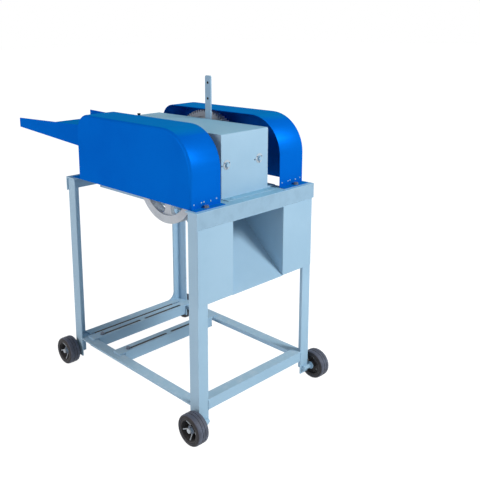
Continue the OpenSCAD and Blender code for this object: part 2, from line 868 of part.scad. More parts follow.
module bearing_bolts() {
    grip = bearing_flange_t + side_t;
    color(bright_steel) from_front() both_sides() each_bearing_bolt(box_half + bearing_flange_t) {
        hex_head(m8_slim);
        translate([0, 0, -grip]) cylinder(r = m8[0], h = grip);
    }
}

module roller_bushes() {
    color(bronze) from_front() both_sides() for (z = [feed_z, upper_z])
        translate([plate_in, feed_y, z]) rotate([0, 90, 0]) rotate_extrude() polygon([
            [roller_shaft_r + run_gap, 0], [bush_r, 0], [bush_r, side_t], [bush_flange_r, side_t],
            [bush_flange_r, side_t + bush_flange_t], [roller_shaft_r + run_gap, side_t + bush_flange_t]]);
}

pivot_collar_r = 14;
module lever_pivot() {
    lever_far = lever_x + lever_t + side_gap;
    color(bright_steel) from_front() translate([0, lever_y, lever_z]) rotate([0, 90, 0]) {
        rotate_extrude() polygon([[0, box_half], [pivot_collar_r, box_half],
            [pivot_collar_r, lever_x - side_gap], [lever_pin_r, lever_x - side_gap], [lever_pin_r, lever_far],
            [pivot_collar_r, lever_far], [pivot_collar_r, lever_far + washer_t], [0, lever_far + washer_t]]);
        translate([0, 0, lever_far + washer_t]) hex_head(m10);
    }
}

// Wheels: bars welded across the legs carry them

module each_wheel() {
    both_sides() for (y = [-wheel_y, stand_d + wheel_y]) translate([0, y, wheel_r]) children();
}

module wheel_axles() {
    color(grey_paint) from_front() each_wheel() difference() {
        rotate([0, 90, 0]) rotate_extrude() polygon([[0, axle_in], [axle_r, axle_in],
            [axle_r, collar_out - collar_t], [collar_r, collar_out - collar_t], [collar_r, collar_out],
            [axle_r, collar_out], [axle_r, axle_end - 1], [axle_r - 1, axle_end], [0, axle_end]]);
        translate([pin_x, 0, 0]) cylinder(r = pin_r + fit_gap, h = 4 * axle_r, center = true);
    }
}

module axle_washers() {
    color(bright_steel) from_front() each_wheel() {
        rotate([0, 90, 0]) translate([0, 0, boss_out + side_gap]) difference() {
            cylinder(r = collar_r, h = washer_t);
            translate([0, 0, -1]) cylinder(r = axle_r + fit_gap, h = washer_t + 2);
        }
        translate([pin_x, 0, 0]) cylinder(r = pin_r, h = 2 * axle_r + 6, center = true);
    }
}

module at_wheel(right, back) {
    from_front() translate([0, back ? stand_d + wheel_y : -wheel_y, wheel_r]) mirrored(!right)
        rotate([0, 90, 0]) children();
}

// Tyre with round shoulders
shoulder = 9;
module tyre(right, back) {
    color(black_rubber) at_wheel(right, back) rotate_extrude($fn = 96) intersection() {
        union() {
            translate([hub_r, wheel_in]) square([wheel_r - shoulder - hub_r, tyre_w]);
            translate([hub_r, wheel_in + shoulder]) square([wheel_r - hub_r, tyre_w - 2 * shoulder]);
            for (x = [wheel_in + shoulder, wheel_out - shoulder])
                translate([wheel_r - shoulder, x]) circle(shoulder);
        }
        translate([hub_r, wheel_in]) square([wheel_r, tyre_w]);
    }
}
module tyre_front_left() { tyre(false, false); }
module tyre_front_right() { tyre(true, false); }
module tyre_back_left() { tyre(false, true); }
module tyre_back_right() { tyre(true, true); }

// Hub: a rim band, thin spokes in a deep dish, and a boss on the axle
band_t = 3.5;
web_t = 3;
web_hole_r = 5;
boss_r = 13;
web_hole_at = (boss_r + hub_r - band_t) / 2;
spoke_w = 5;
spoke_depth = 12;
module hub(right, back) {
    spoke_x = boss_out - spoke_depth - 5;
    color(dark_steel) at_wheel(right, back) difference() {
        union() {
            rotate_extrude() translate([hub_r - band_t, wheel_in + 1]) square([band_t - fit_gap, tyre_w - 2]);
            translate([0, 0, wheel_in]) cylinder(r = boss_r, h = boss_out - wheel_in);
            translate([0, 0, spoke_x]) difference() {
                cylinder(r = hub_r - 1, h = web_t);
                for (k = [0:wheel_spokes - 1]) rotate(360 * (k + 0.5) / wheel_spokes)
                    translate([web_hole_at, 0, -1]) cylinder(r = web_hole_r, h = web_t + 2);
            }
            for (k = [0:wheel_spokes - 1]) rotate(360 * k / wheel_spokes)
                translate([boss_r - 2, -spoke_w / 2, spoke_x])
                    cube([hub_r - boss_r - band_t + 3, spoke_w, spoke_depth]);
        }
        translate([0, 0, wheel_in - 1]) cylinder(r = axle_r + run_gap, h = tyre_w);
    }
}
module hub_front_left() { hub(false, false); }
module hub_front_right() { hub(true, false); }
module hub_back_left() { hub(false, true); }
module hub_back_right() { hub(true, true); }

// Drum on the main shaft

module at_shaft() { from_front() translate([0, shaft_y, shaft_z]) children(); }

module main_shaft() {
    bevel = 2;
    color(bright_steel) at_shaft() rotate([0, 90, 0]) rotate_extrude() polygon([
        [0, -shaft_left], [shaft_r - bevel, -shaft_left], [shaft_r, bevel - shaft_left],
        [shaft_r, shaft_right - bevel], [shaft_r - bevel, shaft_right], [0, shaft_right]]);
}

// Flywheel pulley with two belt grooves; one spoke points down
groove_w = 13;
groove_low_w = 6.5;
groove_depth = 10;
groove_pitch = 15;
hub_boss_r = 36;
fly_spoke_t = 15;
spoke_root = 18;
spoke_neck = 13;
spoke_flare = 26;
flare_len = 20;
// Half a spoke, with a fillet of radius flare_len at the rim
module half_spoke(rim_in) {
    flare_at = rim_in - flare_len;
    difference() {
        polygon([[0, 0], [0, spoke_root], [hub_boss_r, spoke_root], [flare_at, spoke_neck],
            [flare_at, spoke_flare], [rim_in + 2, spoke_flare], [rim_in + 2, 0]]);
        translate([flare_at, spoke_neck + flare_len]) circle(flare_len);
    }
}

module flywheel() {
    rim_in = flywheel_r - rim_h;
    middle = flywheel_x + rim_w / 2;
    color(cast_grey) at_shaft() mirror([1, 0, 0]) difference() {
        union() {
            rotate([0, 90, 0]) rotate_extrude($fn = 128) difference() {
                translate([rim_in, flywheel_x]) square([rim_h, rim_w]);
                for (side = [-1, 1]) translate([flywheel_r, middle + side * groove_pitch / 2])
                    polygon([[1, -groove_w / 2], [0, -groove_w / 2], [-groove_depth, -groove_low_w / 2],
                        [-groove_depth, groove_low_w / 2], [0, groove_w / 2], [1, groove_w / 2]]);
            }
            bar_x(flywheel_x - 6, flywheel_x + rim_w + 4, hub_boss_r, 0, 0);
            for (k = [0:flywheel_spokes - 1])
                along_x(middle - fly_spoke_t / 2, middle + fly_spoke_t / 2)
                    rotate(270 + 360 * k / flywheel_spokes) both_ways() half_spoke(rim_in);
        }
        bar_x(0, big, shaft_r + fit_gap, 0, 0);
    }
}

// Each disc has a lug behind every blade
module drum_disc() {
    difference() {
        union() {
            circle(disc_r);
            for (k = [0:blade_count - 1]) rotate(blade_a + 360 * k / blade_count)
                translate([lug_in, blade_t]) square([lug_r - lug_in, lug_t]);
        }
        for (k = [0:blade_count - 1]) rotate(blade_a + 360 * k / blade_count)
            translate([blade_root, -lug_cut]) square([drum_r, blade_t + lug_cut]);
        circle(shaft_r + fit_gap);
    }
}

// Places of the blade bolts: along Z, with the blade's front face on z = 0
module each_blade_bolt() {
    for (k = [0:blade_count - 1], x = [-1, 1]) translate([x * (disc_in + disc_w / 2), 0, 0])
        rotate([blade_a + 360 * k / blade_count, 0, 0]) translate([0, blade_bolt_at, 0])
            rotate([180, 0, 0]) children();
}

module drum_discs() {
    color(cast_grey) at_shaft() difference() {
        both_sides() along_x(disc_in, disc_in + disc_w) drum_disc();
        each_blade_bolt() translate([0, 0, -blade_t - lug_t]) cylinder(r = m10[0] + bolt_gap, h = 2 * lug_t);
    }
}

module blades() {
    color(bright_steel) at_shaft() difference() {
        for (k = [0:blade_count - 1]) along_x(-blade_len / 2, blade_len / 2)
            rotate(blade_a + 360 * k / blade_count)
                polygon([[blade_root, 0], [drum_r, 0], [drum_r - blade_ground, blade_t],
                    [blade_root, blade_t]]);
        each_blade_bolt() bolt_hole(m10, 2 * blade_t);
    }
}

module blade_bolts() {
    grip = blade_t + lug_t;
    color(dark_steel) at_shaft() each_blade_bolt() {
        hex_head(m10);
        translate([0, 0, -grip]) {
            cylinder(r = m10[0], h = grip);
            nut_under(m10);
        }
    }
}

module drive_pinion() {
    color(dark_steel) at_shaft() difference() {
        union() {
            along_x(feed_gear_x, feed_gear_end) gear_outline(drive_m, pinion_teeth, mesh_a);
            bar_x(box_half + bearing_w + 1, feed_gear_x + 1, shaft_r + 10, 0, 0);
        }
        bar_x(0, big, shaft_r + fit_gap, 0, 0);
    }
}

// Feed rollers and their gears

roller_tooth = [[-0.16, 1], [0.16, 1], [0.3, 0.78], [0.7, 0.78]];
function roller_outline() = [for (k = [0:roller_teeth - 1], p = roller_tooth)
    let(a = (k + p[0]) * 360 / roller_teeth) roller_r * p[1] * [cos(a), sin(a)]];

module roller(z, shaft_end) {
    collar = box_half + bush_flange_t + side_gap;
    color(dark_steel) from_front() translate([0, feed_y, z]) {
        along_x(-roller_len / 2, roller_len / 2) polygon(roller_outline());
        bar_x(-collar - 8, shaft_end, roller_shaft_r, 0, 0);
        bar_x(-collar - 7, -collar, roller_shaft_r + 7, 0, 0);
    }
}
module lower_roller() { roller(feed_z, shaft_right); }
module upper_roller() { roller(upper_z, roller_gear_end + 8); }

// A roller gear with its boss next to the bush
module roller_gear(z, first) {
    color(dark_steel) from_front() translate([0, feed_y, z]) difference() {
        union() {
            along_x(roller_gear_x, roller_gear_end) gear_outline(roller_m, roller_gear_teeth, first);
            bar_x(box_half + bush_flange_t + side_gap, roller_gear_x + 1, roller_shaft_r + 7, 0, 0);
        }
        bar_x(0, big, roller_shaft_r + fit_gap, 0, 0);
    }
}
module lower_roller_gear() { roller_gear(feed_z, 90); }
module upper_roller_gear() { roller_gear(upper_z, 270 + 180 / roller_gear_teeth); }

feed_web = 12;
feed_boss_r = 34;
feed_hole_r = 28;
feed_hole_at = 95;
feed_rim = 16;
module feed_gear() {
    root = drive_m * (feed_teeth / 2 - 1.25);
    dish_depth = (feed_gear_w - feed_web) / 2;
    color(cast_grey) from_front() translate([0, feed_y, feed_z]) difference() {
        union() {
            difference() {
                along_x(feed_gear_x, feed_gear_end)
                    gear_outline(drive_m, feed_teeth, mesh_a + 180 + 180 / feed_teeth);
                bar_x(feed_gear_x - 1, feed_gear_x + dish_depth, root - feed_rim, 0, 0);
                bar_x(feed_gear_end - dish_depth, feed_gear_end + 1, root - feed_rim, 0, 0);
                for (a = [0:60:300]) bar_x(0, big, feed_hole_r, feed_hole_at * cos(a), feed_hole_at * sin(a));
            }
            bar_x(roller_gear_end, feed_gear_end, feed_boss_r, 0, 0);
        }
        bar_x(0, big, roller_shaft_r + fit_gap, 0, 0);
    }
}

// Shift lever: a flat bar on the right side plate's stud

module shift_lever() {
    corner = 4;
    half = lever_w / 2;
    top = lever_len;
    color(grey_paint) from_front() translate([0, lever_y, lever_z]) along_x(lever_x, lever_x + lever_t)
        difference() {
            union() {
                polygon([[-half, 0], [half, 0], [half, top - corner], [half - corner, top],
                    [corner - half, top], [-half, top - corner]]);
                circle(half);
                translate([-half, -lever_tail]) square([lever_w, lever_tail]);
            }
            circle(lever_pin_r + run_gap);
            for (z = lever_holes) translate([0, z]) circle(lever_hole_r);
        }
}

leg_front_left();
leg_front_right();
leg_back_left();
leg_back_right();
top_rail_front();
top_rail_back();
bearer_left();
bearer_right();
shelf_rail_front();
shelf_rail_back();
shelf_rail_left();
shelf_rail_right();
motor_rail_front();
motor_rail_rear();
motor_rail_bolts();
front_panel();
discharge_chute();
box_side_left();
box_side_right();
box_cover();
cover_bolts();
cover_knob();
box_bolts();
throat_floor();
shear_seat();
shear_bar();
shear_bolts();
feed_tray();
tray_bolts();
guard_left();
guard_right();
guard_bolts();
main_bearing_left();
main_bearing_right();
bearing_bolts();
roller_bushes();
lever_pivot();
wheel_axles();
axle_washers();
main_shaft();
flywheel();
drum_discs();
blades();
blade_bolts();
drive_pinion();
lower_roller();
feed_gear();
lower_roller_gear();
upper_roller();
upper_roller_gear();
shift_lever();
tyre_front_left();
tyre_front_right();
tyre_back_left();
tyre_back_right();
hub_front_left();
hub_front_right();
hub_back_left();
hub_back_right();
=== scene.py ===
"""Chaff cutter: paint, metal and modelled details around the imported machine."""
import json
import math

import bpy
from mathutils import Euler, Matrix, Vector


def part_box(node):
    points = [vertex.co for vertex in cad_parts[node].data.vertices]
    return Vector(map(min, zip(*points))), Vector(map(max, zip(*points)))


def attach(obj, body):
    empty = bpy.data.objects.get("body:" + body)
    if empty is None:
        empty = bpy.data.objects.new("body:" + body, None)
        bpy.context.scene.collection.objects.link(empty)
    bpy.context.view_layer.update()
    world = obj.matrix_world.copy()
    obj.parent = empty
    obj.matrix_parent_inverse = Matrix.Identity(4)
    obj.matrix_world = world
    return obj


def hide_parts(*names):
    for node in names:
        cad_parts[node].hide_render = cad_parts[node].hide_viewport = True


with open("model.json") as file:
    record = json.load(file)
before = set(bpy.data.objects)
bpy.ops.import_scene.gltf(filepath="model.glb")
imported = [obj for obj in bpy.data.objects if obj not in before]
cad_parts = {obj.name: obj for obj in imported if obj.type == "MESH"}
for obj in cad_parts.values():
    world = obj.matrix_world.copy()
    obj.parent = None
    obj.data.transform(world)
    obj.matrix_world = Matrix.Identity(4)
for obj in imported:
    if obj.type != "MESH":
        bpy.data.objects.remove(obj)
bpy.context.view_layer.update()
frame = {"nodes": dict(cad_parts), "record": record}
nodes = frame["nodes"]
scene = bpy.context.scene

MM = 0.001


# Shader maths

class Value:
    """A node socket that takes part in expressions."""

    def __init__(self, finish, socket):
        self.finish = finish
        self.socket = socket

    def math(self, operation, first, second):
        return self.finish.node("ShaderNodeMath", {"operation": operation}, {0: first, 1: second})

    def __add__(self, other):
        return self.math("ADD", self, other)

    def __sub__(self, other):
        return self.math("SUBTRACT", self, other)

    def __mul__(self, other):
        return self.math("MULTIPLY", self, other)

    def __rsub__(self, other):
        return self.math("SUBTRACT", other, self)

    __radd__ = __add__
    __rmul__ = __mul__

    def most(self, other):
        return self.math("MAXIMUM", self, other)

    def step(self, low, high):
        """0 below low and 1 above high, with a smooth change between."""
        settings = {"interpolation_type": "SMOOTHSTEP"}
        inputs = {"Value": self, "From Min": low, "From Max": high}
        return self.finish.node("ShaderNodeMapRange", settings, inputs)


class Nodes:
    """Node building on one tree."""

    def __init__(self, tree):
        self.tree = tree

    def link(self, socket, value):
        if isinstance(value, Value):
            self.tree.links.new(value.socket, socket)
        else:
            socket.default_value = value

    def node(self, kind, settings, inputs, output=0):
        made = self.tree.nodes.new(kind)
        for key, value in settings.items():
            setattr(made, key, value)
        for key, value in inputs.items():
            self.link(made.inputs[key], value)
        return Value(self, made.outputs[output])

    def seen(self):
        """1 where a ray comes from the camera, a mirror or glass."""
        camera, glossy, through = (self.node("ShaderNodeLightPath", {}, {}, name)
                                   for name in ("Is Camera Ray", "Is Glossy Ray", "Is Transmission Ray"))
        return camera.most(glossy).most(through)


class Finish(Nodes):
    """One material on a Principled surface."""

    def __init__(self, name):
        self.material = bpy.data.materials.new(name)
        self.material.use_nodes = True
        super().__init__(self.material.node_tree)
        self.surface = self.tree.nodes["Principled BSDF"]

    def noise(self, scale, detail=3, stretch=(1, 1, 1), roughness=0.55):
        coordinates = self.node("ShaderNodeTexCoord", {}, {}, "Object")
        place = self.node("ShaderNodeMapping", {}, {"Vector": coordinates, "Scale": stretch})
        inputs = {"Vector": place, "Scale": scale, "Detail": detail, "Roughness": roughness}
        return self.node("ShaderNodeTexNoise", {}, inputs, "Fac")

    def part_of(self, kind, output, axis):
        """One axis of a vector that an input node gives."""
        vector = self.node(kind, {}, {}, output)
        return self.node("ShaderNodeSeparateXYZ", {}, {"Vector": vector}, axis)

    def edges(self, width):
        """1 on outer edges: the normal of a rounded copy differs from the face's own there."""
        rounded = self.node("ShaderNodeBevel", {"samples": 4}, {"Radius": width})
        flat = self.node("ShaderNodeNewGeometry", {}, {}, "Normal")
        product = {"operation": "DOT_PRODUCT"}
        cosine = self.node("ShaderNodeVectorMath", product, {0: rounded, 1: flat}, "Value")
        return (1 - cosine).step(0.01, 0.12)

    def mix(self, factor, first, second):
        """A colour between two colours."""
        made = self.tree.nodes.new("ShaderNodeMix")
        made.data_type = "RGBA"
        for index, value in ((0, factor), (6, first), (7, second)):
            self.link(made.inputs[index], (*value, 1) if isinstance(value, tuple) else value)
        return Value(self, made.outputs[2])

    def bump(self, height, strength, depth):
        inputs = {"Height": height, "Strength": strength, "Distance": depth}
        return self.node("ShaderNodeBump", {}, inputs)

    def set(self, **inputs):
        for key, value in inputs.items():
            self.link(self.surface.inputs[key.replace("_", " ")], value)
        return self.material


# Finishes

DUST = (0.56, 0.70, 0.80)
DUST_TOP = 0.16
DUST_BLEND = 0.04
RAIL_BAND_TONE = (0.25, 0.39, 0.52)
RAIL_FOOT, RAIL_TOP = (corner[2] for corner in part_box("top_rail_front"))
RAIL_BLEND = 0.003
WORN_EDGE = 1.6 * MM


def enamel(name, colour, deep, painted_top_shade, chipped, satin, gloss, flake=0, glint=(1, 1, 1)):
    """Sprayed enamel: orange peel, painted shade on upper faces, dust on low ones, a darker band at rail
    height, worn edges.
    """
    f = Finish(name)
    drift = f.noise(4, 4).step(0.35, 0.7)
    lying = f.part_of("ShaderNodeNewGeometry", "Normal", "Z").step(0.8, 0.97)
    height = f.part_of("ShaderNodeTexCoord", "Object", "Z")
    low = (DUST_TOP - height).step(0.0, DUST_BLEND)
    dust = lying * low * (0.6 + 0.4 * f.noise(40, 5).step(0.45, 0.75))
    worn = f.edges(WORN_EDGE) * f.noise(75, 4).step(0.56, 0.66)
    # Faces that look along Y at the rails' height take a darker, greyer tone.
    along = f.part_of("ShaderNodeNewGeometry", "Normal", "Y")
    above = (height - RAIL_FOOT).step(0.0, RAIL_BLEND)
    below = (RAIL_TOP - height).step(0.0, RAIL_BLEND)
    rail_band = above * below * (along * along).step(0.5, 0.9)
    rail_band_darkening = rail_band * (0.4 + 0.25 * f.noise(30, 5).step(0.4, 0.7))
    tone = f.mix(drift, colour, deep)
    tone = f.mix(rail_band_darkening, tone, RAIL_BAND_TONE)
    # Upward faces take a darker, greener tone: a painted shade for how the light falls on tops, not
    # fading.
    tone = f.mix(lying * 0.8, tone, painted_top_shade)
    tone = f.mix(dust * 0.75, tone, DUST)
    tone = f.mix(worn * 0.7, tone, chipped)
    return f.set(Base_Color=tone, Roughness=satin + 0.12 * f.noise(25, 3) + 0.25 * dust,
                 Normal=f.bump(f.noise(420, 2), 0.10, 0.6 * MM), Specular_IOR_Level=gloss,
                 Metallic=flake, Specular_Tint=(*glint, 1))


def plated(name):
    """Dull zinc plating with a mottle."""
    f = Finish(name)
    mottle = f.noise(160, 4)
    tone = f.mix(mottle, (0.09, 0.12, 0.165), (0.20, 0.245, 0.315))
    return f.set(Base_Color=tone, Metallic=0.6, Roughness=0.46 + 0.25 * mottle)


def casting(name, colour, deep):
    """Painted sand casting."""
    f = Finish(name)
    grain = f.noise(260, 5, roughness=0.7)
    tone = f.mix(f.noise(14, 4).step(0.3, 0.75), colour, deep)
    tone = f.mix(f.noise(50, 5).step(0.64, 0.76) * 0.45, tone, (0.20, 0.165, 0.14))
    return f.set(Base_Color=tone, Roughness=0.55 + 0.2 * grain,
                 Normal=f.bump(grain, 0.35, 1.2 * MM), Specular_IOR_Level=0.3)


def oiled_iron(name):
    """Dark gear iron under old grease."""
    f = Finish(name)
    grease = f.noise(60, 5).step(0.42, 0.62)
    tone = f.mix(grease, (0.17, 0.165, 0.16), (0.045, 0.042, 0.04))
    return f.set(Base_Color=tone, Metallic=0.75 - 0.6 * grease, Roughness=0.42 - 0.18 * grease,
                 Normal=f.bump(f.noise(300, 3), 0.2, 0.8 * MM))


def ground_steel(name, stretch):
    """Bare steel with grinding marks along one axis."""
    f = Finish(name)
    marks = f.noise(120, 4, stretch)
    stain = f.noise(22, 4).step(0.5, 0.75)
    tone = f.mix(stain * 0.5, (0.52, 0.55, 0.58), (0.20, 0.17, 0.14))
    return f.set(Base_Color=tone, Metallic=0.95 - 0.35 * stain,
                 Roughness=0.26 + 0.25 * marks + 0.2 * stain, Normal=f.bump(marks, 0.12, 0.4 * MM))


def mill_scale(name):
    """Black hot-rolled steel."""
    f = Finish(name)
    flake = f.noise(55, 5).step(0.4, 0.7)
    tone = f.mix(flake, (0.055, 0.055, 0.06), (0.13, 0.12, 0.115))
    return f.set(Base_Color=tone, Metallic=0.6, Roughness=0.48 + 0.15 * flake)


def rubber(name):
    """Solid rubber: black side walls, and a tread painted lighter and bluer, partly ground dust and
    partly a painted sheen of the light it catches.
    """
    f = Finish(name)
    bloom = f.noise(45, 5).step(0.45, 0.75)
    sideways = f.part_of("ShaderNodeNewGeometry", "Normal", "X")
    wall = (sideways * sideways).step(0.3, 0.8)
    # The tread's lighter bluish tone is partly dust and partly a painted sheen.
    tread = f.mix(bloom, (0.066, 0.078, 0.112), (0.130, 0.155, 0.215))
    tone = f.mix(wall, tread, (0.014, 0.014, 0.017))
    return f.set(Base_Color=tone, Roughness=0.55 + 0.2 * bloom,
                 Normal=f.bump(f.noise(700, 3), 0.15, 0.5 * MM), Specular_IOR_Level=0.35)


def moulded(name, colour, lighter):
    """Moulded plastic with a fine grain."""
    f = Finish(name)
    scuff = f.noise(70, 4).step(0.5, 0.8)
    return f.set(Base_Color=f.mix(scuff, colour, lighter), Roughness=0.42 + 0.2 * scuff,
                 Normal=f.bump(f.noise(900, 2), 0.08, 0.3 * MM), Specular_IOR_Level=0.15)


def turned_bronze(name):
    """Turned bronze, tarnished in patches."""
    f = Finish(name)
    tarnish = f.noise(90, 4).step(0.4, 0.7)
    tone = f.mix(tarnish, (0.56, 0.36, 0.15), (0.26, 0.17, 0.08))
    return f.set(Base_Color=tone, Metallic=0.9, Roughness=0.3 + 0.25 * tarnish)


finishes = {
    "grey_enamel": enamel("grey_enamel", colour=(0.375, 0.575, 0.74), deep=(0.34, 0.535, 0.70),
                          painted_top_shade=(0.228, 0.492, 0.668), chipped=(0.50, 0.62, 0.70),
                          satin=0.44, gloss=0.05),
    "blue_enamel": enamel("blue_enamel", colour=(0.001, 0.132, 0.60), deep=(0.001, 0.118, 0.565),
                          painted_top_shade=(0.003, 0.205, 0.50), chipped=(0.02, 0.19, 0.62),
                          satin=0.40, gloss=0, flake=0.3, glint=(0.0, 0.45, 1.0)),
    "zinc_steel": plated("zinc_steel"),
    "cast_iron": casting("cast_iron", (0.52, 0.61, 0.68), (0.44, 0.515, 0.58)),
    "dark_gear_iron": oiled_iron("dark_gear_iron"),
    "bare_steel": ground_steel("bare_steel", (1, 1, 14)),
    "black_steel": mill_scale("black_steel"),
    "black_plastic": moulded("black_plastic", (0.018, 0.018, 0.02), (0.05, 0.05, 0.05)),
    "bronze": turned_bronze("bronze"),
    "tyre_rubber": rubber("tyre_rubber"),
    "hub_plastic": moulded("hub_plastic", (0.045, 0.046, 0.05), (0.10, 0.10, 0.105)),
}


# Machine pieces: each gets its finish and softly broken edges

BROKEN_EDGE = 0.7 * MM
FINE_EDGE = 0.35 * MM
FINE_SLOTS = ("zinc_steel", "bronze", "dark_gear_iron", "cast_iron")
SHARP = math.radians(35)
JOIN_GAP = 0.01 * MM


def soften(piece, width):
    """Joins a piece's loose triangles and rounds its sharp edges.

    The bevel doesn't slide along old edges, which would draw thin facets across flat sheets.
    """
    weld = piece.modifiers.new("join", "WELD")
    weld.merge_threshold = JOIN_GAP
    bevel = piece.modifiers.new("edge", "BEVEL")
    bevel.width = width
    bevel.segments = 2
    bevel.limit_method = "ANGLE"
    bevel.angle_limit = SHARP
    bevel.loop_slide = False
    bevel.harden_normals = True


for part in frame["record"]["subparts"]:
    node = nodes[part["node"]]
    slot = part["material_slot"]
    node.data.materials.clear()
    node.data.materials.append(finishes[slot])
    soften(node, FINE_EDGE if slot in FINE_SLOTS else BROKEN_EDGE)


# Modelling

SAME_POINT = 0.002 * MM


def begin(name, add, **settings):
    """Adds a primitive with nothing else selected."""
    bpy.ops.object.select_all(action="DESELECT")
    add(**settings)
    piece = bpy.context.object
    piece.name = name
    return piece


def only(pieces):
    bpy.ops.object.select_all(action="DESELECT")
    for piece in pieces:
        piece.select_set(True)
    bpy.context.view_layer.objects.active = pieces[0]


def put(piece, place, along=None):
    """Turns a piece's own Z along a direction, moves it, and puts the place into its mesh."""
    only([piece])
    if along:
        piece.rotation_euler = Vector(along).to_track_quat("Z", "Y").to_euler()
    piece.location = place
    bpy.ops.object.transform_apply(location=True, rotation=True, scale=True)


def drawn(name, points):
    """A line in the XZ plane, drawn point by point and left selected in edit mode."""
    piece = begin(name, bpy.ops.mesh.primitive_plane_add, size=MM)
    bpy.ops.object.mode_set(mode="EDIT")
    bpy.ops.mesh.select_all(action="SELECT")
    bpy.ops.mesh.merge(type="CENTER")
    here = Vector((0, 0, 0))
    for index, (across, height) in enumerate(points):
        step = Vector((across, 0, height)) - here
        if index:
            bpy.ops.mesh.extrude_vertices_move(TRANSFORM_OT_translate={"value": step})
        else:
            bpy.ops.transform.translate(value=step)
        here += step
    bpy.ops.mesh.select_all(action="SELECT")
    return piece


def plate(name, outline, thickness):
    """A flat plate: its outline is filled and drawn out along Y."""
    piece = drawn(name, outline)
    bpy.ops.mesh.edge_face_add()
    bpy.ops.mesh.extrude_region_move(TRANSFORM_OT_translate={"value": (0, thickness, 0)})
    bpy.ops.mesh.select_all(action="SELECT")
    bpy.ops.mesh.normals_make_consistent(inside=False)
    bpy.ops.object.mode_set(mode="OBJECT")
    return piece


def turned(name, profile, steps):
    """A turned piece about Z, spun from its half section."""
    piece = drawn(name, profile)
    bpy.ops.mesh.spin(steps=steps, angle=math.tau, center=(0, 0, 0), axis=(0, 0, 1))
    bpy.ops.mesh.select_all(action="SELECT")
    bpy.ops.mesh.remove_doubles(threshold=SAME_POINT)
    bpy.ops.mesh.normals_make_consistent(inside=False)
    bpy.ops.object.mode_set(mode="OBJECT")
    return piece


def joined(pieces):
    only(pieces)
    bpy.ops.object.join()
    return bpy.context.object


def copies(model, places):
    """Copies a model to places with directions, each copy with its own mesh, and joins them."""
    made = []
    for place, along in places:
        only([model])
        bpy.ops.object.duplicate(linked=False)
        made.append(bpy.context.object)
        put(made[-1], place, along)
    bpy.data.objects.remove(model)
    return joined(made)


def hand_over(piece, name, body, slot, replaced=None):
    """Names a finished piece, gives it its finish, and ties it to its body."""
    piece.name = name
    only([piece])
    bpy.ops.object.shade_smooth_by_angle(angle=SHARP)
    piece.data.materials.clear()
    piece.data.materials.append(finishes[slot])
    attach(piece, body)
    if replaced:
        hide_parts(replaced)


def corners(name):
    low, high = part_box(name)
    return Vector(low), Vector(high)


def outward(name):
    """The direction along X that leads out of the machine at a left or right piece."""
    return -1 if name.endswith("left") else 1


# Wheels: crowned tyres with two fine grooves and a moulding ridge

def rounded(centre, radius, first, last, count):
    """Points of an arc in a half section, angles in degrees."""
    angles = [math.radians(first + (last - first) * i / (count - 1)) for i in range(count)]
    return [(centre[0] + radius * math.cos(a), centre[1] + radius * math.sin(a)) for a in angles]


SHOULDER = 8 * MM
SHOULDER_POINTS = 7
GROOVE_AT = 5.5 * MM
GROOVE_DEPTH = 1.1 * MM
GROOVE_TOP, GROOVE_FLOOR = 1.2 * MM, 0.6 * MM
RIDGE = 0.35 * MM
RIDGE_FOOT, RIDGE_TOP = 0.7 * MM, 0.4 * MM
LIP_WIDTH = 3 * MM
LIP_SINK = 1 * MM
LIP_SLOPE = 0.8 * MM


def tyre_section(inner, outer, half):
    """Half section of a tyre, closed on itself."""
    tread = outer - RIDGE
    floor = tread - GROOVE_DEPTH
    crown = []
    for at in (-GROOVE_AT, GROOVE_AT):
        crown += [(tread, at - GROOVE_TOP), (floor, at - GROOVE_FLOOR), (floor, at + GROOVE_FLOOR),
                  (tread, at + GROOVE_TOP)]
        if at < 0:
            crown += [(tread, -RIDGE_FOOT), (outer, -RIDGE_TOP), (outer, RIDGE_TOP),
                      (tread, RIDGE_FOOT)]
    lower = rounded((tread - SHOULDER, SHOULDER - half), SHOULDER, -90, 0, SHOULDER_POINTS)
    upper = rounded((tread - SHOULDER, half - SHOULDER), SHOULDER, 0, 90, SHOULDER_POINTS)
    lip = inner + LIP_WIDTH
    sunk = half - LIP_SINK
    lower_wall = [(inner, -sunk), (lip, -sunk), (lip + LIP_SLOPE, -half)]
    upper_wall = [(lip + LIP_SLOPE, half), (lip, sunk), (inner, sunk)]
    section = lower_wall + lower + crown + upper + upper_wall
    return section + [section[0]]


WHEELS = ("front_left", "front_right", "back_left", "back_right")
TYRE_STEPS = 72


def make_tyres():
    hub_low, hub_high = corners("hub_front_left")
    rim = (hub_high.z - hub_low.z) / 2
    for wheel in WHEELS:
        low, high = corners("tyre_" + wheel)
        section = tyre_section(rim, (high.z - low.z) / 2, (high.x - low.x) / 2)
        tyre = turned("tyre", section, TYRE_STEPS)
        put(tyre, (low + high) / 2, (1, 0, 0))
        hand_over(tyre, "ribbed_tyre_" + wheel, "wheel_" + wheel, "tyre_rubber", "tyre_" + wheel)


SPOKE = [(0, 0), (2.6 * MM, 0), (2.0 * MM, 4 * MM), (1.7 * MM, 12 * MM), (2.0 * MM, 20 * MM),
         (2.6 * MM, 24 * MM), (0, 24 * MM)]
SPOKE_STEPS = 12
SPOKE_COUNT = 5
SPOKE_START = 12 * MM
SPOKE_DEPTH = 17.5 * MM
SPOKE_RISE = 0.45


def make_spokes():
    """Pale ribs that rise from the spokes in the dish of each wheel to its rim."""
    for wheel in WHEELS:
        low, high = corners("hub_" + wheel)
        centre = (low + high) / 2
        out = outward(wheel)
        face_x = (low.x if out < 0 else high.x) - out * SPOKE_DEPTH
        places = []
        for index in range(SPOKE_COUNT):
            angle = math.tau * index / SPOKE_COUNT - math.pi / 2
            along = Vector((0, math.cos(angle), math.sin(angle)))
            start = Vector((face_x, centre.y, centre.z)) + SPOKE_START * along
            places.append((start, along + Vector((out * SPOKE_RISE, 0, 0))))
        ribs = copies(turned("spoke", SPOKE, SPOKE_STEPS), places)
        hand_over(ribs, "spoke_ribs_" + wheel, "wheel_" + wheel, "cast_iron")


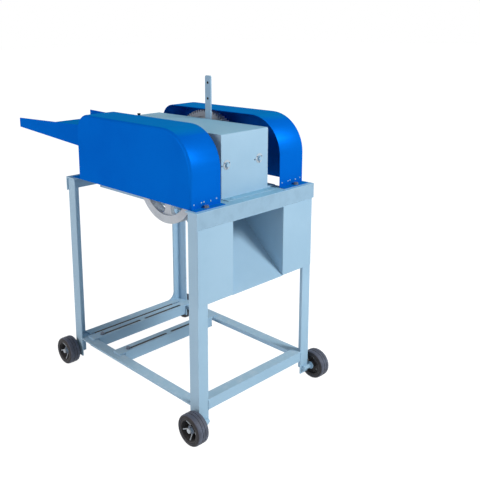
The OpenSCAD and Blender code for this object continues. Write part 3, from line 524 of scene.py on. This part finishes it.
CAP = [(0, 0), (7.9 * MM, 0), (7.9 * MM, 4.2 * MM), (7.2 * MM, 5.2 * MM), (4.5 * MM, 5.8 * MM),
       (0, 5.8 * MM)]
CAP_STEPS = 24
CAP_SINK = 6.6 * MM


def make_axle_caps():
    """Bright caps over the ends of the axles."""
    places = []
    for wheel in WHEELS:
        low, high = corners("tyre_" + wheel)
        centre = (low + high) / 2
        out = outward(wheel)
        end_x = low.x if out < 0 else high.x
        places.append(((end_x - out * CAP_SINK, centre.y, centre.z), (out, 0, 0)))
    caps = copies(turned("cap", CAP, CAP_STEPS), places)
    hand_over(caps, "axle_caps", "stand", "cast_iron")


# Shelf: black bars in the motor slots and in the gap behind them, a painted shade for their deep insides

SLOT_INSET = 14 * MM
BAR_HALF = 7.5 * MM
BAR_ENDS = (-178 * MM, 206 * MM)
GAP_ENDS = (-205 * MM, 185 * MM)
BAR_SINK = 0.6 * MM
BAR_THICK = 3 * MM


def bar_outline(start, end, depth):
    return [(start, -depth), (end, -depth), (end, 0), (start, 0)]


def shade_bar(ends, front, back, top):
    """A flat bar along X, sunk a little under a top face; it stands for the shade inside a slot or gap.
    """
    bar = plate("bar", bar_outline(*ends, BAR_THICK), back - front)
    put(bar, (0, front, top - BAR_SINK))
    return bar


def make_slot_shade_bars():
    bars = []
    for rail in ("front", "rear"):
        low, high = corners("motor_rail_" + rail)
        middle = low.y + SLOT_INSET
        bars.append(shade_bar(BAR_ENDS, middle - BAR_HALF, middle + BAR_HALF, high.z))
    bars.append(shade_bar(GAP_ENDS, high.y, corners("shelf_rail_back")[0].y, high.z))
    # The black bars are painted shade: they make the slots and the gap look as dark as a deep shadow.
    hand_over(joined(bars), "slot_shade_bars", "stand", "black_plastic")


# Painted shade under the front rail, and the corner plate of the right back leg

SEAM = 1.5 * MM
SEAM_STRIP = 0.5 * MM
SEAM_STAND = 0.3 * MM
CORNER = 34 * MM
CORNER_POINTS = 9
CORNER_PLATE = 4.6 * MM


def make_panel_seam_shade():
    """A thin black strip under the front rail on both sides of the cut-out: painted shade of the gap
    between the rail and the panel.
    """
    low, high = corners("front_panel")
    rail_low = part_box("top_rail_front")[0][2]
    half_cut = corners("discharge_chute")[1].x
    strips = []
    for start, end in ((low.x, -half_cut), (half_cut, high.x)):
        strips.append(plate("strip", bar_outline(start, end, SEAM), SEAM_STRIP))
        put(strips[-1], (0, low.y - SEAM_STAND, rail_low))
    # The black strip is painted shade for the shadow gap under the rail's lower edge.
    hand_over(joined(strips), "panel_seam_shade", "stand", "black_steel")


def make_corner_plate():
    low, high = corners("leg_back_right")
    shelf_top = corners("shelf_rail_back")[1].z
    curve = rounded((-CORNER, CORNER), CORNER, 270, 360, CORNER_POINTS)
    piece = plate("corner", [(0, 0)] + curve[1:-1] + [(0, CORNER)], CORNER_PLATE)
    put(piece, (low.x, high.y - CORNER_PLATE, shelf_top))
    hand_over(piece, "corner_plate", "stand", "grey_enamel")


# Welds of the stand

RIPPLE = 2.6 * MM
RIPPLE_OVERLAP = 1.1
RIPPLE_LEAN = math.radians(24)
THIN_BEAD, AXLE_BEAD, BEAD, THICK_BEAD = 2.2 * MM, 2.3 * MM, 2.4 * MM, 2.6 * MM
TOE_GAP = 2 * MM
LEG_INSIDE = 35 * MM
SHELF_RUN = (9 * MM, 38 * MM)
AXLE_RUN = (11 * MM, 36 * MM)
AXLE_RISE = 6.5 * MM
AXLE_LAP = 2 * MM
MOTOR_INSET = 4 * MM
MOTOR_DROP = 3.5 * MM
STITCHES = (0.06, 0.22, 0.36, 0.64, 0.78, 0.94)
STITCH_HALF = 9 * MM
BACK_RUN = (8 * MM, 42 * MM)
BACK_INSET = 4 * MM


def bead(start, end, width):
    """A row of overlapping ripples from start to end."""
    start, end = Vector(start), Vector(end)
    ripple = begin("bead", bpy.ops.mesh.primitive_uv_sphere_add, segments=8, ring_count=6, radius=1)
    ripple.scale = (width, width, RIPPLE_OVERLAP * RIPPLE)
    ripple.rotation_euler = (0, RIPPLE_LEAN, 0)
    bpy.ops.object.transform_apply(location=False, rotation=True, scale=True)
    row = ripple.modifiers.new("row", "ARRAY")
    row.use_relative_offset = False
    row.use_constant_offset = True
    row.constant_offset_displace = (0, 0, RIPPLE)
    row.count = max(2, round((end - start).length / RIPPLE))
    bpy.ops.object.modifier_apply(modifier="row")
    put(ripple, start, end - start)
    return ripple


def leg_beads(side, end):
    """Beads of one leg: at the cross rail, on the side rail, and over and under the axle."""
    low, high = corners(f"leg_{end}_{side}")
    out = outward(side)
    outer_y, inward = (low.y, 1) if end == "front" else (high.y, -1)
    toe_x = high.x if side == "left" else low.x
    rail_low, rail_high = corners("shelf_rail_" + end)
    beads = [bead((toe_x, outer_y, rail_low.z + TOE_GAP), (toe_x, outer_y, rail_high.z - TOE_GAP),
                  THIN_BEAD)]
    shelf_top = corners("shelf_rail_" + side)[1].z
    wall_x = toe_x + out * LEG_INSIDE
    first_y, last_y = (outer_y + inward * run for run in SHELF_RUN)
    beads.append(bead((wall_x, first_y, shelf_top), (wall_x, last_y, shelf_top), BEAD))
    wheel_low, wheel_high = corners("tyre_front_left")
    axle_y = outer_y - inward * AXLE_LAP
    first_x, last_x = (toe_x + out * run for run in AXLE_RUN)
    for rise in (-AXLE_RISE, AXLE_RISE):
        bead_z = (wheel_low.z + wheel_high.z) / 2 + rise
        beads.append(bead((first_x, axle_y, bead_z), (last_x, axle_y, bead_z), AXLE_BEAD))
    return beads


def motor_rail_bead(side, rail):
    low, high = corners("motor_rail_" + rail)
    end_x = low.x if side == "left" else high.x
    bead_z = high.z - MOTOR_DROP
    return bead((end_x, low.y + MOTOR_INSET, bead_z), (end_x, high.y - MOTOR_INSET, bead_z),
                THICK_BEAD)


def make_welds():
    beads = []
    for side in ("left", "right"):
        for end in ("front", "back"):
            beads += leg_beads(side, end)
        beads += [motor_rail_bead(side, rail) for rail in ("front", "rear")]
    low, high = corners("top_rail_front")
    panel_y = corners("front_panel")[0].y
    for share in STITCHES:
        middle = low.x + share * (high.x - low.x)
        first_x, last_x = middle - STITCH_HALF, middle + STITCH_HALF
        beads.append(bead((first_x, panel_y, low.z), (last_x, panel_y, low.z), THIN_BEAD))
    low, high = corners("top_rail_back")
    back_y = high.y - BACK_INSET
    near, far = BACK_RUN
    for first_x, last_x in ((low.x + near, low.x + far), (high.x - far, high.x - near)):
        beads.append(bead((first_x, back_y, low.z), (last_x, back_y, low.z), BEAD))
    hand_over(joined(beads), "stand_welds", "stand", "grey_enamel")


# Small fasteners and fittings

FORWARD = (0, -1, 0)
RIVET = [(0, -1 * MM), (2.5 * MM, -1 * MM), (2.5 * MM, 0.3 * MM), (2.1 * MM, 0.8 * MM),
         (1.3 * MM, 1.1 * MM), (0.8 * MM, 1.15 * MM), (0.6 * MM, 0.5 * MM), (0, 0.5 * MM)]
RIVET_STEPS = 16
RIVETS_ALONG_AND_UP = ((12, 13), (42, 15), (52, 16), (80, 14), (104, 17))
GUARD_FOOT = 21 * MM
GUARD_SHEET = 2 * MM


def make_guard_rivets():
    places = []
    for side in ("left", "right"):
        low = corners("guard_" + side)[0]
        foot_top = low.z + GUARD_SHEET
        face_y = low.y + GUARD_FOOT
        for along, rise in RIVETS_ALONG_AND_UP:
            places.append(((low.x + along * MM, face_y, foot_top + rise * MM), FORWARD))
    rivets = copies(turned("rivet", RIVET, RIVET_STEPS), places)
    hand_over(rivets, "guard_rivets", "stand", "grey_enamel")


PLATE = [(0, -0.5 * MM), (15.5 * MM, -0.5 * MM), (15.5 * MM, 0.7 * MM), (14.8 * MM, 1.2 * MM),
         (9.5 * MM, 1.2 * MM), (9.3 * MM, 0.8 * MM), (0, 0.8 * MM)]
PLATE_STEPS = 40
COVER_FLANGE = 31 * MM
COVER_BOLTS_UP = 107 * MM
COVER_BOLTS_X = (-83 * MM, 65 * MM)
SCREW_RING = 11.8 * MM
SCREW_ANGLES = (0.5, 2.6, 4.7)
SCREW_STAND = 1 * MM
SCREW_STEPS = 14
PLUG_ASIDE = 20.5 * MM
PLUG_BELOW = 2 * MM


def make_cover_plates():
    """Round plates under the two bolts of the box front, with a small black dome beside each that paints
    the shade of a small hole.
    """
    low = corners("box_cover")[0]
    front_y = low.y + COVER_FLANGE
    height = low.z + COVER_BOLTS_UP
    places = [((x, front_y, height), FORWARD) for x in COVER_BOLTS_X]
    plates = copies(turned("plate", PLATE, PLATE_STEPS), places)
    hand_over(plates, "cover_plates", "stand", "cast_iron")
    ring = [(math.cos(a) * SCREW_RING, math.sin(a) * SCREW_RING) for a in SCREW_ANGLES]
    places = [((x + across, front_y - SCREW_STAND, height + up), FORWARD)
              for x in COVER_BOLTS_X for across, up in ring]
    screws = copies(turned("screw", RIVET, SCREW_STEPS), places)
    hand_over(screws, "cover_plate_screws", "stand", "zinc_steel")
    # The black domes are painted shade standing for a small dark hole beside each plate.
    places = [((x - PLUG_ASIDE, front_y, height - PLUG_BELOW), FORWARD) for x in COVER_BOLTS_X]
    plugs = copies(turned("plug", RIVET, RIVET_STEPS), places)
    hand_over(plugs, "cover_hole_shades", "stand", "black_plastic")


NIPPLE = [(0, -3 * MM), (4.2 * MM, -3 * MM), (4.2 * MM, 3 * MM), (3.4 * MM, 3.8 * MM),
          (2.4 * MM, 4.2 * MM), (2.2 * MM, 6.5 * MM), (3.1 * MM, 7.6 * MM), (3.2 * MM, 9 * MM),
          (2.3 * MM, 10.3 * MM), (0.8 * MM, 10.8 * MM), (0.6 * MM, 10.2 * MM), (0, 10.2 * MM)]
NIPPLE_STEPS = 18
BOSS_DEPTH = 9 * MM
BOSS_RADIUS = 24.5 * MM


def make_grease_nipples():
    places = []
    for side in ("left", "right"):
        low, high = corners("main_bearing_" + side)
        boss_x = low.x + BOSS_DEPTH if side == "left" else high.x - BOSS_DEPTH
        axis = (low + high) / 2
        places.append(((boss_x, axis.y, axis.z + BOSS_RADIUS), (0, 0, 1)))
    nipples = copies(turned("nipple", NIPPLE, NIPPLE_STEPS), places)
    hand_over(nipples, "grease_nipples", "stand", "zinc_steel")


PLUG_RADIUS = 4.3 * MM
PLUG_STAND = 0.4 * MM
PLUG_STEPS = 20
LEVER_HOLE_DROPS = (25 * MM, 81 * MM)


def make_lever_plugs():
    """Dark plugs in the two holes at the lever's top."""
    low, high = corners("shift_lever")
    start = low.x - PLUG_STAND
    length = high.x + PLUG_STAND - start
    profile = [(0, 0), (PLUG_RADIUS, 0), (PLUG_RADIUS, length), (0, length)]
    middle = (low.y + high.y) / 2
    places = [((start, middle, high.z - drop), (1, 0, 0)) for drop in LEVER_HOLE_DROPS]
    plugs = copies(turned("plug", profile, PLUG_STEPS), places)
    hand_over(plugs, "lever_plugs", "lever", "black_plastic")


make_tyres()
make_spokes()
make_axle_caps()
make_slot_shade_bars()
make_panel_seam_shade()
make_corner_plate()
make_welds()
make_guard_rivets()
make_cover_plates()
make_grease_nipples()
make_lever_plugs()


# Studio: pale floor, soft light, camera at the photograph's angle

AMBIENT = 0.315
SHADOW_SHARE = 0.25
FLOOR_SIZE = 60
FLOOR_GLOW = 1.3
LIT_PLACE = (0, 0, 0.6)


def studio_world():
    world = bpy.data.worlds.new("studio")
    scene.world = world
    world.use_nodes = True
    sky = Nodes(world.node_tree)
    levels = {"Value": sky.seen(), "To Min": AMBIENT, "To Max": 1.0}
    strength = sky.node("ShaderNodeMapRange", {}, levels)
    background = world.node_tree.nodes["Background"]
    sky.link(background.inputs["Color"], (1, 1, 1, 1))
    sky.link(background.inputs["Strength"], strength)


def studio_floor():
    floor = begin("floor", bpy.ops.mesh.primitive_plane_add, size=FLOOR_SIZE)
    f = Finish("pale_floor")
    f.set(Base_Color=(0.92, 0.92, 0.92, 1), Roughness=0.9)
    glow = f.node("ShaderNodeEmission", {}, {"Color": (1, 1, 1, 1), "Strength": FLOOR_GLOW})
    lit = Value(f, f.surface.outputs[0])
    share = f.seen() * (1 - SHADOW_SHARE)
    shown = f.node("ShaderNodeMixShader", {}, {0: share, 1: lit, 2: glow})
    f.link(f.tree.nodes["Material Output"].inputs["Surface"], shown)
    floor.data.materials.append(f.material)


def area_light(name, place, size, power, colour):
    """A round soft light that faces the middle of the machine."""
    lamp = bpy.data.lights.new(name, "AREA")
    lamp.color = colour
    lamp.shape = "DISK"
    lamp.size = size
    lamp.energy = power
    holder = bpy.data.objects.new(name, lamp)
    holder.location = place
    facing = Vector(LIT_PLACE) - Vector(place)
    holder.rotation_euler = facing.to_track_quat("-Z", "Y").to_euler()
    scene.collection.objects.link(holder)


CAMERA_X = -1.5335
CAMERA_BEFORE_LEGS = 1.3788
CAMERA_Z = 1.2592
CAMERA_YAW = 0.7229
CAMERA_PITCH = -0.2055
CAMERA_ROLL = -0.016
CAMERA_SHIFT = (0.12, -0.16)
FOCAL_PIXELS = 676.3
FRAME_PIXELS = 480
SENSOR = 36


def photo_camera():
    data = bpy.data.cameras.new("photo_camera")
    data.sensor_width = SENSOR
    data.lens = FOCAL_PIXELS / FRAME_PIXELS * SENSOR
    data.shift_x, data.shift_y = CAMERA_SHIFT
    camera = bpy.data.objects.new("photo_camera", data)
    legs_y = corners("leg_front_left")[0].y
    camera.location = (CAMERA_X, legs_y - CAMERA_BEFORE_LEGS, CAMERA_Z)
    level = Euler((math.pi / 2 + CAMERA_PITCH, 0, -CAMERA_YAW)).to_matrix()
    camera.rotation_euler = (level @ Matrix.Rotation(CAMERA_ROLL, 3, "Z")).to_euler()
    scene.collection.objects.link(camera)
    scene.camera = camera


scene.view_settings.view_transform = "Standard"
studio_world()
studio_floor()
area_light("front_key", (1.5, -3.6, 2.9), size=1.3, power=120, colour=(1, 1, 1))
area_light("left_fill", (-4.2, 0.2, 1.6), size=2.6, power=74, colour=(1, 0.84, 0.79))
photo_camera()
